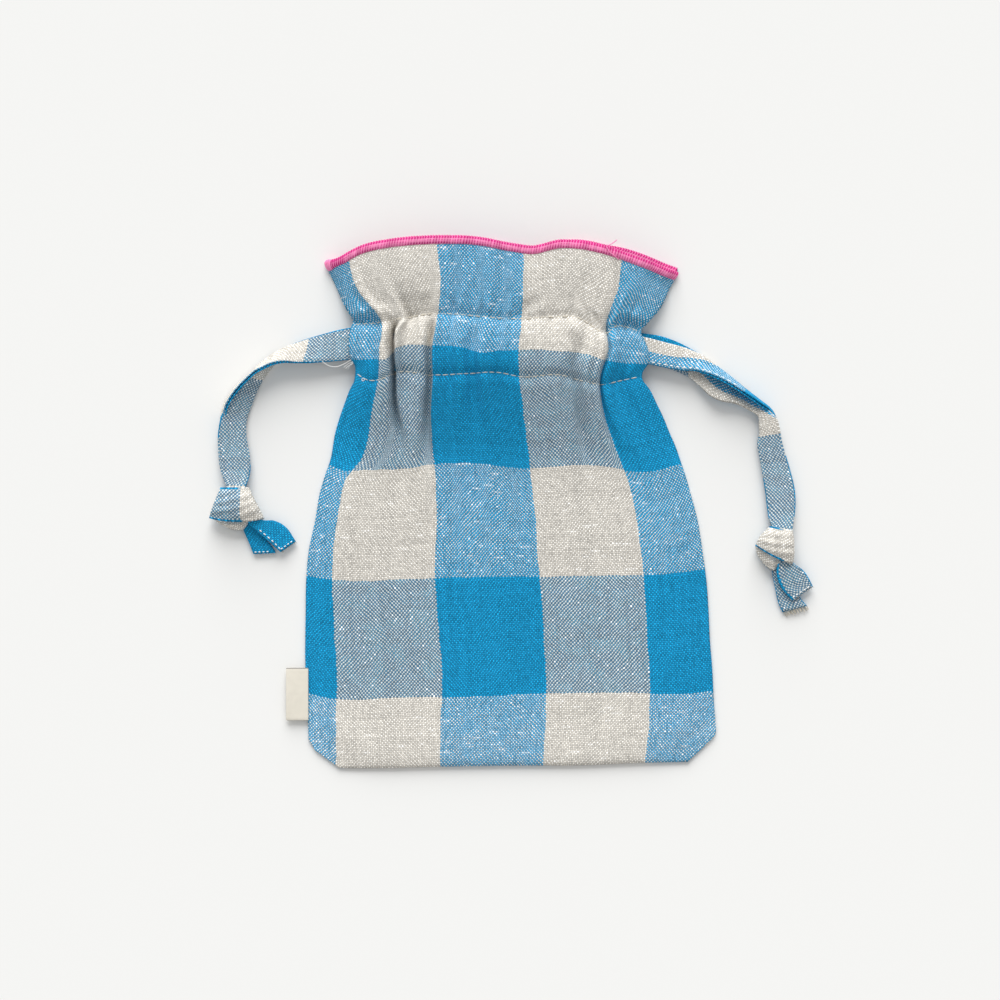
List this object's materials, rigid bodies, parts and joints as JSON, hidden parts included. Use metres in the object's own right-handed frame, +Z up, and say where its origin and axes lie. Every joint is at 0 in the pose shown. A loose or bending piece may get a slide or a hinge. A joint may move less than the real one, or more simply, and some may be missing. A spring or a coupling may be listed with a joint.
{
  "type": "drawstring pouch",
  "caption": "Flat drawstring pouch of checked linen with a gathered frill above a stitched casing, knotted tape drawstrings at both sides, a folded side label and boxed bottom corners.",
  "frame": {"origin": "middle of the pouch's back, on the surface that it lies on", "axes": "+Y towards the mouth, +Z up out of the front, +X to the right seen from the front"},
  "size_m": [0.2474, 0.2244, 0.0132],
  "materials": {
    "checked_linen": "plain-weave linen in a large blue and natural check",
    "natural_linen": "plain-weave undyed linen",
    "tape_linen": "checked linen folded into tape and edge stitched",
    "edging_thread": "pink overlocked thread",
    "label_tape": "woven cream cotton tape, bare"
  },
  "bodies": {
    "pouch": {"back_panel": "checked_linen", "front_panel": "checked_linen", "back_mouth_edging": "edging_thread", "back_casing_strip": "natural_linen", "front_casing_strip": "natural_linen", "left_side_seam": "checked_linen", "right_side_seam": "checked_linen", "left_corner_seam": "checked_linen", "right_corner_seam": "checked_linen", "bottom_seam": "checked_linen", "left_frill_seam": "checked_linen", "right_frill_seam": "checked_linen"},
    "front_frill": {"front_frill": "checked_linen", "front_mouth_edging": "edging_thread"},
    "left_drawstring": {"left_front_inner_tape": "tape_linen", "left_back_inner_tape": "tape_linen", "left_tape_turn": "tape_linen", "left_front_free_tape": "tape_linen", "left_back_free_tape": "tape_linen", "left_knot": "tape_linen", "left_front_tail": "tape_linen", "left_back_tail": "tape_linen"},
    "right_drawstring": {"right_front_inner_tape": "tape_linen", "right_back_inner_tape": "tape_linen", "right_tape_turn": "tape_linen", "right_front_free_tape": "tape_linen", "right_back_free_tape": "tape_linen", "right_knot": "tape_linen", "right_front_tail": "tape_linen", "right_back_tail": "tape_linen"},
    "side_label": {"side_label": "label_tape"}
  },
  "joints": [
    {"name": "left_drawstring_pull", "type": "slide", "parent": "pouch", "child": "left_drawstring", "axis": [-1, 0, 0], "range_m": [0, 0.015]},
    {"name": "right_drawstring_pull", "type": "slide", "parent": "pouch", "child": "right_drawstring", "axis": [1, 0, 0], "range_m": [0, 0.015]},
    {"name": "front_frill_lift", "type": "hinge", "parent": "pouch", "child": "front_frill", "pos_m": [0, 0.07645, 0.0133], "axis": [1, 0, 0], "range_deg": [0, 35]},
    {"name": "label_flap", "type": "hinge", "parent": "pouch", "child": "side_label", "pos_m": [-0.08507, -0.08105, 0.0025], "axis": [0, 1, 0], "range_deg": [0, 90]}
  ]
}
